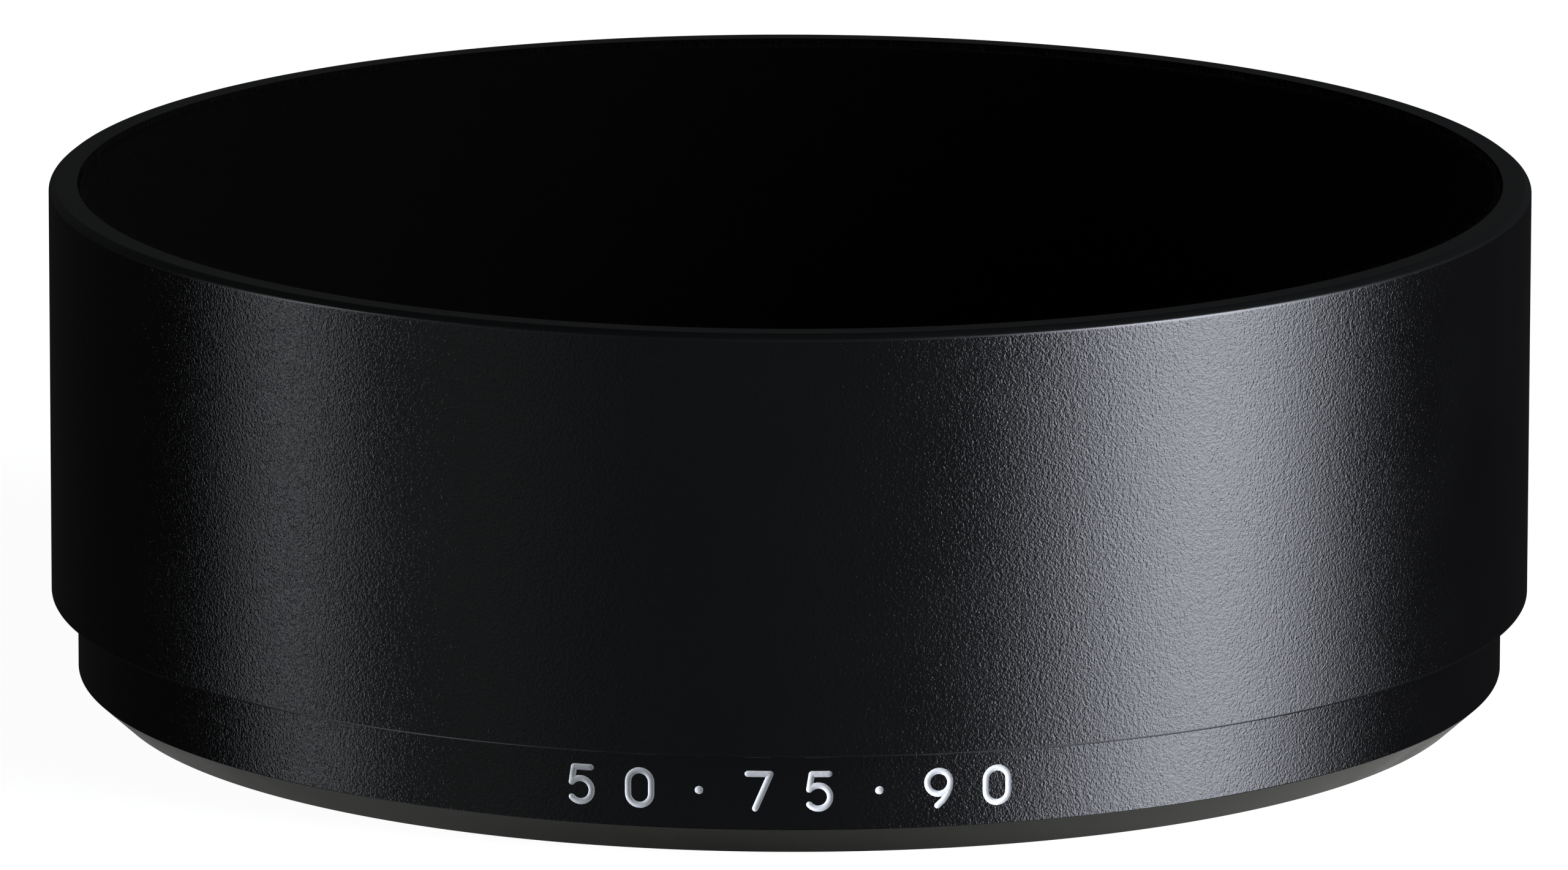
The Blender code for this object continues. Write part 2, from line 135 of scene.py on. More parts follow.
# Places that follow from those sizes
BORE_RADIUS = BARREL_RADIUS - BARREL_WALL
JOINT_RADIUS = COLLAR_RADIUS - SHOULDER_WIDTH
SOCKET_RADIUS = COLLAR_RADIUS - COLLAR_WALL
LUG_RADIUS = SOCKET_RADIUS - LUG_HEIGHT
OPENING_RADIUS = SOCKET_RADIUS - SEAT_WIDTH
SPRING_RADIUS = SOCKET_RADIUS - SEAT_WIDTH / 2
SHOULDER_HEIGHT = BARREL_BOTTOM - FIT_GAP
SEAT_HEIGHT = COLLAR_BOTTOM + TAB_SPACE
FLANGE_TOP = SEAT_HEIGHT + FLANGE_THICKNESS
FUNNEL_TOP_RADIUS = JOINT_RADIUS - SPIGOT_LIP
LINING_RADIUS = SLEEVE_OUTER - LINING_THICKNESS
RING_SCREW_RADIUS = (SOCKET_RADIUS + COLLAR_RADIUS - RING_CHAMFER) / 2
STOP_PIN_RADIUS = (LUG_RADIUS + SOCKET_RADIUS) / 2
HEAD_INNER_FACE = spring_screw_low[2] + SPRING_SCREW_HEAD_HEIGHT
SPRING_HEIGHT = HEAD_INNER_FACE + FLEX_GAP + SPRING_THICKNESS / 2
POCKET_ROOF = SPRING_HEIGHT + SPRING_THICKNESS / 2 + FLEX_GAP

# Fineness of the shapes
SEGMENTS = 384
SMALL_SEGMENTS = 48
FILLET_STEPS = 4
ARC_STEP = math.radians(1.5)
CUT_OVERSHOOT = 1.0 * MM
SEAM_EASE = 0.02 * MM
SHARP_ANGLE = math.radians(35.0)

# Camera, fitted to the photograph's edges
CAMERA_LENS = 394.4
CAMERA_DISTANCE = 814.07 * MM
CAMERA_ELEVATION = math.radians(12.597)
CAMERA_ROLL = math.radians(0.102)
CAMERA_TARGET = Vector((-0.2665 * MM, 0.0, 12.353 * MM))


def lug_angles():
    return [FIRST_LUG_ANGLE + math.tau * i / LUG_COUNT for i in range(LUG_COUNT)]


def spring_angles():
    return [lug + SPRING_ROOT_ANGLE for lug in lug_angles()]


def ring_screw_angles():
    return [lug + side * RING_SCREW_ANGLE for lug in lug_angles() for side in (-1, 1)]


def turn(angle):
    return Matrix.Rotation(angle, 4, "Z")


def polar(angle, radius, height):
    return turn(angle) @ Matrix.Translation((radius, 0.0, height))


# Material helpers

MIX_FACTOR = 0
MIX_FIRST = 6
MIX_SECOND = 7
MIX_RESULT = 2
NOISE_MIDDLE = (0.3, 0.7)


def add(tree, kind, values=(), **settings):
    # A node with its settings and its input values; a value that is a socket is linked
    node = tree.nodes.new(kind)
    for key, value in settings.items():
        setattr(node, key, value)
    for key, value in dict(values).items():
        if isinstance(value, bpy.types.NodeSocket):
            tree.links.new(value, node.inputs[key])
        else:
            node.inputs[key].default_value = value
    return node


def computed(tree, operation, *terms, **settings):
    node = add(tree, "ShaderNodeMath", dict(enumerate(terms)), operation=operation, **settings)
    return node.outputs[0]


def mapped(tree, value, start, end, low=0.0, high=1.0, **settings):
    # A number that runs from low to high as the value runs from start to end
    values = {"Value": value, "From Min": start, "From Max": end, "To Min": low, "To Max": high}
    return add(tree, "ShaderNodeMapRange", values, **settings).outputs["Result"]


def between(tree, factor, low, high):
    # A number that runs from low to high as the factor runs over a noise's middle range
    return mapped(tree, factor, *NOISE_MIDDLE, low, high)


def uneven(tree, factor, middle, spread):
    return between(tree, factor, middle - spread, middle + spread)


def mixed_colour(tree, factor, first, second):
    values = {MIX_FACTOR: factor, MIX_FIRST: first, MIX_SECOND: second}
    return add(tree, "ShaderNodeMix", values, data_type="RGBA").outputs[MIX_RESULT]


def tinted(tree, factor, dark, light):
    return mixed_colour(tree, factor, (*dark, 1.0), (*light, 1.0))


def noise(tree, coords, size, detail=2.0, roughness=0.5):
    values = {"Vector": coords, "Scale": 1.0 / size, "Detail": detail, "Roughness": roughness}
    return add(tree, "ShaderNodeTexNoise", values).outputs["Fac"]


def object_coords(tree):
    return add(tree, "ShaderNodeTexCoord").outputs["Object"]


def relief(tree, height, depth, normal=None):
    # The normal of a surface raised by up to depth, on top of a coarser relief if there is one
    values = {"Height": height, "Distance": depth}
    if normal is not None:
        values["Normal"] = normal
    return add(tree, "ShaderNodeBump", values).outputs["Normal"]


def blank_material(name):
    material = bpy.data.materials.new(name)
    material.use_nodes = True
    tree = material.node_tree
    return material, tree, tree.nodes["Principled BSDF"]


def dress(tree, shader, normal, colour, roughness):
    for name, socket in (("Normal", normal), ("Base Color", colour), ("Roughness", roughness)):
        tree.links.new(socket, shader.inputs[name])


# Materials

PAINT_PATCH_SIZE = 6 * MM
PAINT_GLOSS_SPREAD = 0.02
PAINT_CELL_SHARE = 1.3
PAINT_CELL_SMOOTHNESS = 0.7
PAINT_CLUMP_SIZE = 0.155 * MM
METAL_PATCH_SIZE = 3 * MM
METAL_GLOSS_SPREAD = 0.04
METAL_MARK_STRETCH = (1.0, 1.0, 6.0)
FLOCK_ROUGHNESS = (0.9, 1.0)
FLOCK_SPECULAR = 0.02
FLOCK_SHEEN = 0.0012
ENAMEL_BLOT_SIZE = 0.12 * MM
ENAMEL_BLOT_DEPTH = 0.008 * MM
ENAMEL_GLOSS_SPREAD = 0.05


def grained_paint(name, dark, light, gloss, grain_size, grain_depth, clump_depth):
    # Satin paint with an orange-peel grain in looser clumps, slightly uneven in colour and gloss
    material, tree, shader = blank_material(name)
    coords = object_coords(tree)
    fine = noise(tree, coords, grain_size, detail=1.0)
    cell_scale = 1.0 / (grain_size * PAINT_CELL_SHARE)
    values = {"Vector": coords, "Scale": cell_scale, "Smoothness": PAINT_CELL_SMOOTHNESS}
    cells = add(tree, "ShaderNodeTexVoronoi", values, feature="SMOOTH_F1").outputs["Distance"]
    clumps = relief(tree, noise(tree, coords, PAINT_CLUMP_SIZE, detail=1.0), clump_depth)
    grain = relief(tree, computed(tree, "SUBTRACT", fine, cells), grain_depth, clumps)
    patches = noise(tree, coords, PAINT_PATCH_SIZE)
    roughness = uneven(tree, patches, gloss, PAINT_GLOSS_SPREAD)
    dress(tree, shader, grain, tinted(tree, patches, dark, light), roughness)
    return material


def metal(name, dark, light, gloss, metallic, mark_size, mark_depth):
    # Turned or rolled metal with fine marks round its axis and uneven gloss
    material, tree, shader = blank_material(name)
    coords = object_coords(tree)
    stretch = add(tree, "ShaderNodeMapping", {"Vector": coords, "Scale": METAL_MARK_STRETCH})
    marks = noise(tree, stretch.outputs["Vector"], mark_size, detail=3.0)
    patches = noise(tree, coords, METAL_PATCH_SIZE)
    roughness = uneven(tree, patches, gloss, METAL_GLOSS_SPREAD)
    dress(tree, shader, relief(tree, marks, mark_depth), tinted(tree, patches, dark, light), roughness)
    shader.inputs["Metallic"].default_value = metallic
    return material


def with_reflections(material, level, tint):
    # How strongly and in which colour a dark finish mirrors its surroundings
    shader = material.node_tree.nodes["Principled BSDF"]
    shader.inputs["Specular IOR Level"].default_value = level
    shader.inputs["Specular Tint"].default_value = (*tint, 1.0)
    return material


def flock_cloth(name, dark, light, pile_size, pile_depth):
    # Deep black pile: hardly any gloss, a little sheen, and the unevenness of standing fibres
    material, tree, shader = blank_material(name)
    pile = noise(tree, object_coords(tree), pile_size, detail=2.0, roughness=0.7)
    roughness = between(tree, pile, *FLOCK_ROUGHNESS)
    dress(tree, shader, relief(tree, pile, pile_depth), tinted(tree, pile, dark, light), roughness)
    shader.inputs["Specular IOR Level"].default_value = FLOCK_SPECULAR
    shader.inputs["Sheen Weight"].default_value = FLOCK_SHEEN
    return material


def enamel(name, dark, light, gloss):
    # Paint wiped into the engraving, uneven as it dries
    material, tree, shader = blank_material(name)
    blot = noise(tree, object_coords(tree), ENAMEL_BLOT_SIZE)
    roughness = uneven(tree, blot, gloss, ENAMEL_GLOSS_SPREAD)
    dress(tree, shader, relief(tree, blot, ENAMEL_BLOT_DEPTH), tinted(tree, blot, dark, light), roughness)
    return material


PAINT = grained_paint(
    "black_paint",
    dark=(0.0009, 0.0009, 0.001),
    light=(0.0012, 0.0012, 0.0013),
    gloss=0.183,
    grain_size=0.065 * MM,
    grain_depth=0.0095 * MM,
    clump_depth=0.02 * MM,
)
RIM_PAINT = grained_paint(
    "rim_paint",
    dark=(0.0009, 0.001, 0.001),
    light=(0.0012, 0.0013, 0.0013),
    gloss=0.28,
    grain_size=0.06 * MM,
    grain_depth=0.0015 * MM,
    clump_depth=0.002 * MM,
)
ANODISE = with_reflections(
    metal(
        "ring_anodise",
        dark=(0.003, 0.0031, 0.0027),
        light=(0.004, 0.0041, 0.0036),
        gloss=0.26,
        metallic=0.0,
        mark_size=0.2 * MM,
        mark_depth=0.001 * MM,
    ),
    level=0.42,
    tint=(0.95, 1.0, 0.84),
)
FLOCK = flock_cloth(
    "black_flock",
    dark=(0.0005, 0.0003, 0.0003),
    light=(0.0009, 0.0006, 0.0006),
    pile_size=0.09 * MM,
    pile_depth=0.05 * MM,
)
# Painted glints: the loose fibres are the lining's black flock made lighter, so that they show as bright
# specks
GLINTING_FIBRE = flock_cloth(
    "flock_fibre_glint",
    dark=(0.0005, 0.0003, 0.0003),
    light=(0.004, 0.003, 0.0032),
    pile_size=0.3 * MM,
    pile_depth=0.01 * MM,
)
# Painted glints: the fringe along the lining's top edge is its black flock made lighter still, as bright
# specks on the upright fibres
GLINTING_FRINGE = flock_cloth(
    "flock_fringe_glint",
    dark=(0.0006, 0.0006, 0.0006),
    light=(0.013, 0.0125, 0.013),
    pile_size=0.3 * MM,
    pile_depth=0.01 * MM,
)
ENAMEL = enamel("white_enamel", dark=(0.51, 0.52, 0.52), light=(0.62, 0.63, 0.63), gloss=0.45)
BRONZE = metal(
    "spring_bronze",
    dark=(0.5, 0.31, 0.15),
    light=(0.6, 0.4, 0.21),
    gloss=0.3,
    metallic=1.0,
    mark_size=0.25 * MM,
    mark_depth=0.003 * MM,
)
DARK_STEEL = metal(
    "screw_steel",
    dark=(0.07, 0.07, 0.074),
    light=(0.11, 0.11, 0.114),
    gloss=0.34,
    metallic=1.0,
    mark_size=0.1 * MM,
    mark_depth=0.002 * MM,
)
BRIGHT_STEEL = metal(
    "pin_steel",
    dark=(0.5, 0.51, 0.52),
    light=(0.6, 0.61, 0.62),
    gloss=0.24,
    metallic=1.0,
    mark_size=0.1 * MM,
    mark_depth=0.002 * MM,
)


# Shape helpers

def rounded(corners):
    # An outline whose (radius, height, cut back) corners are eased by short curves
    outline = []
    count = len(corners)
    for i, (x, y, back) in enumerate(corners):
        here = Vector((x, y))
        if back == 0.0:
            outline.append((x, y))
            continue
        before = Vector(corners[i - 1][:2])
        after = Vector(corners[(i + 1) % count][:2])
        start = here + (before - here).normalized() * back
        end = here + (after - here).normalized() * back
        for step in range(FILLET_STEPS + 1):
            t = step / FILLET_STEPS
            point = start * (1 - t) ** 2 + here * (2 * t * (1 - t)) + end * t**2
            outline.append((point.x, point.y))
    return outline


def mesh_from(shape, name, materials):
    bmesh.ops.recalc_face_normals(shape, faces=shape.faces)
    mesh = bpy.data.meshes.new(name)
    shape.to_mesh(mesh)
    shape.free()
    for material in materials:
        mesh.materials.append(material)
    mesh.shade_smooth()
    mesh.set_sharp_from_angle(angle=SHARP_ANGLE)
    return mesh


def turned(name, outline, materials, segments=SEGMENTS, ring=True, paint_of=None):
    # Spins an outline round Z; paint_of gives the material index of each stretch of it
    shape = bmesh.new()
    rows = []
    for i in range(segments):
        angle = math.tau * i / segments
        c, s = math.cos(angle), math.sin(angle)
        rows.append([shape.verts.new((r * c, r * s, z)) for r, z in outline])
    stretches = len(outline) if ring else len(outline) - 1
    for i, row in enumerate(rows):
        following = rows[(i + 1) % segments]
        for j in range(stretches):
            k = (j + 1) % len(row)
            face = shape.faces.new((row[j], row[k], following[k], following[j]))
            if paint_of:
                face.material_index = paint_of(outline[j], outline[k])
    if not ring:
        shape.faces.new([row[0] for row in rows])
        shape.faces.new([row[-1] for row in reversed(rows)])
    return mesh_from(shape, name, materials)


def bridge(shape, loops, capped=True):
    # Faces from each loop to the next, and over both ends
    for near, far in zip(loops, loops[1:]):
        for i in range(len(near)):
            j = (i + 1) % len(near)
            shape.faces.new((near[i], near[j], far[j], far[i]))
    if capped:
        shape.faces.new(loops[0])
        shape.faces.new(loops[-1])


def arc_strip(name, stations, inner, outer, materials):
    # Lofts a strip that bends round Z; each station is (angle, lower height, upper height)
    shape = bmesh.new()
    loops = []
    for angle, low, high in stations:
        c, s = math.cos(angle), math.sin(angle)
        corners = [(inner, low), (outer, low), (outer, high), (inner, high)]
        loops.append([shape.verts.new((r * c, r * s, z)) for r, z in corners])
    bridge(shape, loops)
    return mesh_from(shape, name, materials)


def even_arc(start, end, low, high):
    count = max(2, math.ceil((end - start) / ARC_STEP))
    return [(start + (end - start) * i / count, low, high) for i in range(count + 1)]


def pin_mesh(name, diameter, low, high, materials):
    radius = diameter / 2
    return turned(name, [(radius, high), (radius, low)], materials, SMALL_SEGMENTS, ring=False)


def shown(name, mesh, place=None):
    item = bpy.data.objects.new(name, mesh)
    bpy.context.scene.collection.objects.link(item)
    if place is not None:
        item.matrix_world = place
    return item


def carved(name, mesh, cuts):
    # The mesh less every (mesh, places) in cuts; cut faces keep the paint of their cutter
    item = shown(name, mesh)
    used = []
    for number, (cutter, places) in enumerate(cuts, start=1):
        group = bpy.data.collections.new(f"{name}_cut_{number}")
        bpy.context.scene.collection.children.link(group)
        for place in places:
            tool = bpy.data.objects.new(f"{name}_tool", cutter)
            group.objects.link(tool)
            tool.matrix_world = place
            used.append(tool)
        boolean = item.modifiers.new(group.name, "BOOLEAN")
        boolean.operation = "DIFFERENCE"
        boolean.solver = "EXACT"
        boolean.material_mode = "TRANSFER"
        boolean.operand_type = "COLLECTION"
        boolean.collection = group
    state = bpy.context.evaluated_depsgraph_get()
    result = bpy.data.meshes.new_from_object(item.evaluated_get(state))
    result.name = name
    for tool in used:
        bpy.data.objects.remove(tool, do_unlink=True)
    for group in [m.collection for m in item.modifiers]:
        bpy.data.collections.remove(group)
    bpy.data.objects.remove(item, do_unlink=True)
    result.shade_smooth()
    result.set_sharp_from_angle(angle=SHARP_ANGLE)
    return result


def finished(item, node, body="hood"):
    # Even shading over the flats beside the eased corners, then the piece joins the frame
    shading = item.modifiers.new("Even shading", "WEIGHTED_NORMAL")
    shading.keep_sharp = True
    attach(item, body)
    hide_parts(node)


# Barrel

def make_barrel():
    ease = 0.06 * MM
    corner = 0.12 * MM
    outline = rounded(
        [
            (BARREL_RADIUS - RIM_CHAMFER_WIDTH, RIM_HEIGHT, ease),
            (BARREL_RADIUS, RIM_HEIGHT - RIM_CHAMFER_HEIGHT, corner),
            (BARREL_RADIUS, BARREL_BOTTOM, corner),
            (JOINT_RADIUS + FIT_GAP, BARREL_BOTTOM, ease),
            (JOINT_RADIUS + FIT_GAP, JOINT_TOP, ease),
            (BORE_RADIUS, JOINT_TOP, 0.0),
            (BORE_RADIUS, RIM_HEIGHT, 0.0),
        ]
    )
    rim_start = RIM_HEIGHT - RIM_CHAMFER_HEIGHT - 2 * ease
    foot_end = BARREL_BOTTOM + corner + SEAM_EASE
    materials = [PAINT, RIM_PAINT, FLOCK]

    def paint_of(a, b):
        # Grain on the walls, smooth paint on the rim and the lower edge, flock in the bore
        if max(a[0], b[0]) <= BORE_RADIUS:
            return materials.index(FLOCK)
        smooth = min(a[1], b[1]) >= rim_start or max(a[1], b[1]) <= foot_end
        return materials.index(RIM_PAINT if smooth else PAINT)

    mesh = turned("barrel_shell", outline, materials, paint_of=paint_of)
    finished(shown("barrel_shell", mesh), "hood_barrel")


# Engraved figures on the collar

FIGURES = "50.75.90"
FIGURE_HEIGHT = 1.62 * MM
FIGURE_WIDTH = 1.08 * MM
FIGURE_PITCH = 2.75 * MM
STROKE_HALF_WIDTH = 0.145 * MM
DOT_HALF_WIDTH = 0.2 * MM
ENGRAVING_DEPTH = 0.075 * MM
STROKE_SIDES = 20
STROKE_STEP_SHARE = 0.8
STROKE_END_BENDS = [math.radians(angle) for angle in (20, 45, 70)]
FIGURE_MIDDLE = (COLLAR_BOTTOM + SHOULDER_HEIGHT) / 2
FRONT = -math.pi / 2


def curve_points(centre_x, centre_y, half_width, half_height, start, end, steps):
    points = []
    for i in range(steps + 1):
        angle = math.radians(start + (end - start) * i / steps)
        x = centre_x + half_width * math.cos(angle)
        points.append((x, centre_y + half_height * math.sin(angle)))
    return points


def figure_strokes(figure):
    # The cutter's paths for one figure in a box of width 1 and height 1, as (path, closed)
    round_top = FIGURE_WIDTH / FIGURE_HEIGHT / 2
    if figure == "0":
        loop = curve_points(0.5, 1 - round_top, 0.5, round_top, 0, 180, 12)
        loop += curve_points(0.5, round_top, 0.5, round_top, 180, 360, 12)
        return [(loop, True)]
    if figure == "5":
        bowl = curve_points(0.46, 0.335, 0.5, 0.335, 140, -140, 20)
        return [([(0.92, 1.0), (0.18, 1.0)], False), ([(0.18, 1.0), bowl[0]], False), (bowl, False)]
    if figure == "7":
        return [([(0.02, 1.0), (0.98, 1.0)], False), ([(0.98, 1.0), (0.34, 0.0)], False)]
    if figure == "9":
        loop = curve_points(0.5, 1 - round_top, 0.5, round_top, 0, 345, 23)
        tail = [(1.0, 1 - round_top), (0.97, 0.5), (0.86, 0.32), (0.68, 0.14), (0.44, 0.0)]
        return [(loop, True), (tail, False)]
    return [([(0.5, 0.5), (0.5, 0.502)], False)]


def on_collar(along, up, out):
    # A point at an arc length from the front, a height from the figures' middle, and an offset
    radius = COLLAR_RADIUS + out
    angle = FRONT + along / COLLAR_RADIUS
    return (radius * math.cos(angle), radius * math.sin(angle), FIGURE_MIDDLE + up)


def stepped(path, closed, step):
    # The path at even short steps, with its corners kept
    dense = []
    pairs = list(zip(path, path[1:] + path[:1])) if closed else list(zip(path, path[1:]))
    for (x0, y0), (x1, y1) in pairs:
        count = max(1, round(math.hypot(x1 - x0, y1 - y0) / step))
        dense += [(x0 + (x1 - x0) * i / count, y0 + (y1 - y0) * i / count) for i in range(count)]
    return dense if closed else dense + [path[-1]]


def directed(points, closed):
    # Each point of a path with the path's direction there, as (x, y, dx, dy)
    count = len(points)
    places = []
    for i, (x, y) in enumerate(points):
        back = points[i - 1] if closed or i > 0 else points[0]
        ahead = points[(i + 1) % count] if closed or i < count - 1 else points[-1]
        dx, dy = ahead[0] - back[0], ahead[1] - back[1]
        length = math.hypot(dx, dy)
        places.append((x, y, dx / length, dy / length))
    return places


def stroke_end(place, radius, side):
    # Rings that round off a stroke, from its tip inwards; side is -1 at its start and 1 at its end
    x, y, dx, dy = place
    rings = []
    for bend in STROKE_END_BENDS:
        reach = side * radius * math.cos(bend)
        rings.append((x + dx * reach, y + dy * reach, dx, dy, radius * math.sin(bend)))
    return rings


def stroke_mesh(path, closed, half_width):
    # A round cutter's sweep along the path, with round ends; the cutter's middle stays off the collar
    radius = (half_width**2 + ENGRAVING_DEPTH**2) / (2 * ENGRAVING_DEPTH)
    lift = radius - ENGRAVING_DEPTH
    places = directed(stepped(path, closed, half_width * STROKE_STEP_SHARE), closed)
    rings = [(*place, radius) for place in places]
    if not closed:
        rings = stroke_end(places[0], radius, -1) + rings + stroke_end(places[-1], radius, 1)[::-1]
    shape = bmesh.new()
    loops = []
    for x, y, dx, dy, width in rings:
        loop = []
        for side in range(STROKE_SIDES):
            angle = math.tau * side / STROKE_SIDES
            across, out = width * math.cos(angle), width * math.sin(angle)
            loop.append(shape.verts.new(on_collar(x - dy * across, y + dx * across, lift + out)))
        loops.append(loop)
    bridge(shape, loops + loops[:1] if closed else loops, capped=not closed)
    return mesh_from(shape, "engraver", [ENAMEL])


def figure_cuts():
    cuts = []
    start = -FIGURE_PITCH * (len(FIGURES) - 1) / 2
    for place, figure in enumerate(FIGURES):
        left = start + place * FIGURE_PITCH - FIGURE_WIDTH / 2
        half_width = DOT_HALF_WIDTH if figure == "." else STROKE_HALF_WIDTH
        for path, closed in figure_strokes(figure):
            sized = [(left + x * FIGURE_WIDTH, (y - 0.5) * FIGURE_HEIGHT) for x, y in path]
            cuts.append((stroke_mesh(sized, closed, half_width), [Matrix.Identity(4)]))
    return cuts


# Collar

def spring_pocket():
    start = -(SPRING_TAIL + SIDE_GAP) / SPRING_RADIUS
    end = (SPRING_REACH + SPRING_TIP + SIDE_GAP) / SPRING_RADIUS
    half = SPRING_WIDTH / 2 + SIDE_GAP
    stations = even_arc(start, end, SEAT_HEIGHT - CUT_OVERSHOOT, POCKET_ROOF)
    inner = SPRING_RADIUS - half
    return arc_strip("spring_pocket", stations, inner, SPRING_RADIUS + half, [PAINT])


def make_collar():
    ease = 0.07 * MM
    outline = rounded(
        [
            (JOINT_RADIUS, JOINT_TOP, ease),
            (JOINT_RADIUS, SHOULDER_HEIGHT, 0.0),
            (COLLAR_RADIUS, SHOULDER_HEIGHT, ease),
            (COLLAR_RADIUS, COLLAR_BOTTOM, SEAM_EASE),
            (SOCKET_RADIUS, COLLAR_BOTTOM, ease),
            (SOCKET_RADIUS, SEAT_HEIGHT, ease),
            (OPENING_RADIUS, SEAT_HEIGHT, ease),
            (OPENING_RADIUS, FLANGE_TOP, ease),
            (FUNNEL_TOP_RADIUS, JOINT_TOP, ease),
        ]
    )
    blank = turned("collar_shell", outline, [PAINT])
    roots = spring_angles()
    tapped = THREAD_DIAMETER + 2 * FIT_GAP
    spring_hole = pin_mesh("spring_hole", tapped, SEAT_HEIGHT, spring_screw_high[2] + SIDE_GAP, [PAINT])
    ring_hole = pin_mesh("ring_hole", tapped, 0.0, ring_screw_high[2] + SIDE_GAP, [PAINT])
    cuts = [
        (spring_pocket(), [turn(root) for root in roots]),
        (spring_hole, [polar(root, SPRING_RADIUS, 0.0) for root in roots]),
        (ring_hole, [polar(angle, RING_SCREW_RADIUS, 0.0) for angle in ring_screw_angles()]),
    ]
    mesh = carved("collar_shell", blank, cuts + figure_cuts())
    finished(shown("collar_shell", mesh), "mount_collar")


# Bayonet ring

def lug_notch():
    half = (math.tau / LUG_COUNT - LUG_ARC) / 2
    stations = even_arc(-half, half, -CUT_OVERSHOOT, RING_THICKNESS + CUT_OVERSHOOT)
    return arc_strip("lug_notch", stations, LUG_RADIUS - CUT_OVERSHOOT, SOCKET_RADIUS, [ANODISE])


def lug_ramp():
    top = RING_THICKNESS + CUT_OVERSHOOT
    start = -LUG_ARC / 2
    end = start + RAMP_ARC
    overrun = CUT_OVERSHOOT / LUG_RADIUS
    stations = []
    for angle, _, _ in even_arc(start - overrun, end + overrun, 0.0, 0.0):
        stations.append((angle, RING_THICKNESS + RAMP_DROP * (angle - end) / RAMP_ARC, top))
    return arc_strip("lug_ramp", stations, LUG_RADIUS - CUT_OVERSHOOT, SOCKET_RADIUS, [ANODISE])


def countersink():
    head = RING_SCREW_HEAD / 2 + FIT_GAP
    shank = THREAD_DIAMETER / 2 + FIT_GAP
    recess = ring_screw_low[2]
    outline = [
        (shank, RING_THICKNESS + CUT_OVERSHOOT),
        (shank, recess + RING_SCREW_HEAD_DEPTH),
        (head, recess),
        (head, -CUT_OVERSHOOT),
    ]
    return turned("countersink", outline, [ANODISE], SMALL_SEGMENTS, ring=False)


def stop_pin_place():
    angle = FIRST_LUG_ANGLE + LUG_ARC / 2 - STOP_PIN_INSET
    return polar(angle, STOP_PIN_RADIUS, 0.0)


def make_ring():
    ease = 0.06 * MM
    outline = rounded(
        [
            (COLLAR_RADIUS, COLLAR_BOTTOM - SEAM_EASE / 2, SEAM_EASE),
            (COLLAR_RADIUS - RING_CHAMFER, 0.0, ease),
            (LUG_RADIUS, 0.0, ease),
            (LUG_RADIUS, RING_THICKNESS, ease),
            (SOCKET_RADIUS, RING_THICKNESS, 0.0),
            (SOCKET_RADIUS, COLLAR_BOTTOM - SEAM_EASE / 2, 0.0),
        ]
    )
    blank = turned("bayonet_plate", outline, [ANODISE])
    gaps = [turn(angle + math.pi / LUG_COUNT) for angle in lug_angles()]
    pin_top = RING_THICKNESS + CUT_OVERSHOOT
    bore = STOP_PIN_DIAMETER + 2 * FIT_GAP
    pin_hole = pin_mesh("pin_hole", bore, pin_low[2] - FIT_GAP, pin_top, [ANODISE])
    cuts = [
        (lug_notch(), gaps),
        (lug_ramp(), [turn(angle) for angle in lug_angles()]),
        (countersink(), [polar(angle, RING_SCREW_RADIUS, 0.0) for angle in ring_screw_angles()]),
        (pin_hole, [stop_pin_place()]),
    ]
    mesh = carved("bayonet_plate", blank, cuts)
    finished(shown("bayonet_plate", mesh), "bayonet_ring")


# Flock linings

def make_linings():
    ease = 0.12 * MM
    outline = rounded(
        [
            (SLEEVE_OUTER, SLEEVE_TOP, ease),
            (SLEEVE_OUTER, SLEEVE_BOTTOM, 0.0),
            (LINING_RADIUS, SLEEVE_BOTTOM, 0.0),
            (LINING_RADIUS, SLEEVE_TOP, ease),
        ]
    )
    sleeve = shown("flock_sleeve", turned("flock_sleeve", outline, [FLOCK]))
    finished(sleeve, "barrel_lining")

    slope = (JOINT_TOP - FLANGE_TOP) / (FUNNEL_TOP_RADIUS - OPENING_RADIUS)
    rise = math.hypot(1.0, slope)
    under = FIT_GAP * rise
    over = (FIT_GAP + LINING_THICKNESS) * rise
    flat_under = FLOOR_TOP - LINING_THICKNESS

    def funnel_radius(height, offset):
        return OPENING_RADIUS + (height - offset - FLANGE_TOP) / slope

    outline = rounded(
        [
            (SLEEVE_OUTER, FLOOR_TOP, 0.0),
            (SLEEVE_OUTER, flat_under, 0.0),
            (funnel_radius(flat_under, under), flat_under, 0.0),
            (OPENING_RADIUS, FLANGE_TOP + under, 0.0),
            (OPENING_RADIUS, FLANGE_TOP + over, ease),
            (funnel_radius(FLOOR_TOP, over), FLOOR_TOP, 2 * ease),
        ]
    )
    floor = shown("flock_floor", turned("flock_floor", outline, [FLOCK]))
    finished(floor, "rear_lining")


# Loose fibres

FIBRE_RADIUS = 0.011 * MM
FIBRE_LENGTHS = (0.16 * MM, 0.4 * MM)
FIBRE_SUNK = 0.02 * MM
FIBRE_LEAN = 0.275
FRINGE_FIBRES = 3400
FRINGE_LENGTHS = (0.28 * MM, 0.56 * MM)
FRINGE_SPREAD = 0.12 * MM
FRINGE_INWARDS = 0.15
WALL_FIBRES = 9000
WALL_CROWDING = 1.6
FLOOR_FIBRES = 4000
UP = Vector((0.0, 0.0, 1.0))


def fibre_mesh(name, roots, material):
    # A three-sided spike for each (root, direction, length)
    vertices = []
    faces = []
    for root, direction, length in roots:
        first = len(vertices)
        side = direction.orthogonal().normalized() * FIBRE_RADIUS
        for i in range(3):
            around = Matrix.Rotation(math.tau * i / 3, 3, direction)
            vertices.append(root + around @ side)
        vertices.append(root + direction * length)
        faces += [(first + i, first + (i + 1) % 3, first + 3) for i in range(3)]
        faces.append((first + 2, first + 1, first))
    mesh = bpy.data.meshes.new(name)
    mesh.from_pydata(vertices, [], faces)
    mesh.materials.append(material)
    return mesh


